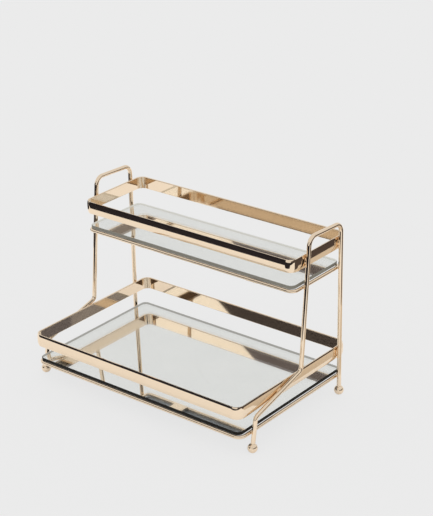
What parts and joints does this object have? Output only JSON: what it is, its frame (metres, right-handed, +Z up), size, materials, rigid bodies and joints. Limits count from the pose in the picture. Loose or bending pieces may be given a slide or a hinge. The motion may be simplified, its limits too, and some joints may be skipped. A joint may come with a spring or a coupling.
{
  "type": "two-tier countertop rack",
  "caption": "Countertop rack with a deep lower and a shallow upper mirrored tray, each inside a guard rail, between bent wire side frames with handle loops and ball feet.",
  "frame": {"origin": "on the table, under the middle of the lower tray", "axes": "+X along the trays to the right, +Y from the front to the back, +Z up"},
  "size_m": [0.3166, 0.1944, 0.2116],
  "materials": {
    "gold_plating": "polished light gold electroplating over steel wire and strip",
    "mirror_glass": "silvered float glass with a painted back",
    "bumper": "clear soft bumper pads"
  },
  "bodies": {
    "rack": {"side_frame_left": "gold_plating", "side_frame_right": "gold_plating", "foot_front_left": "gold_plating", "foot_front_right": "gold_plating", "foot_back_left": "gold_plating", "foot_back_right": "gold_plating", "lower_ring": "gold_plating", "upper_ring": "gold_plating", "lower_rail": "gold_plating", "upper_rail": "gold_plating", "lower_strap_left": "gold_plating", "lower_strap_right": "gold_plating", "upper_strap_left": "gold_plating", "upper_strap_right": "gold_plating", "lower_pad_front_left": "bumper", "lower_pad_front_right": "bumper", "lower_pad_back_left": "bumper", "lower_pad_back_right": "bumper", "upper_pad_front_left": "bumper", "upper_pad_front_right": "bumper", "upper_pad_back_left": "bumper", "upper_pad_back_right": "bumper"},
    "lower_glass": {"lower_mirror": "mirror_glass"},
    "upper_glass": {"upper_mirror": "mirror_glass"}
  },
  "joints": [
    {"name": "lower_mirror_lift", "type": "slide", "parent": "rack", "child": "lower_glass", "axis": [0, 0, 1], "range_m": [0, 0.06]},
    {"name": "upper_mirror_lift", "type": "slide", "parent": "rack", "child": "upper_glass", "axis": [0, 0, 1], "range_m": [0, 0.06]}
  ]
}
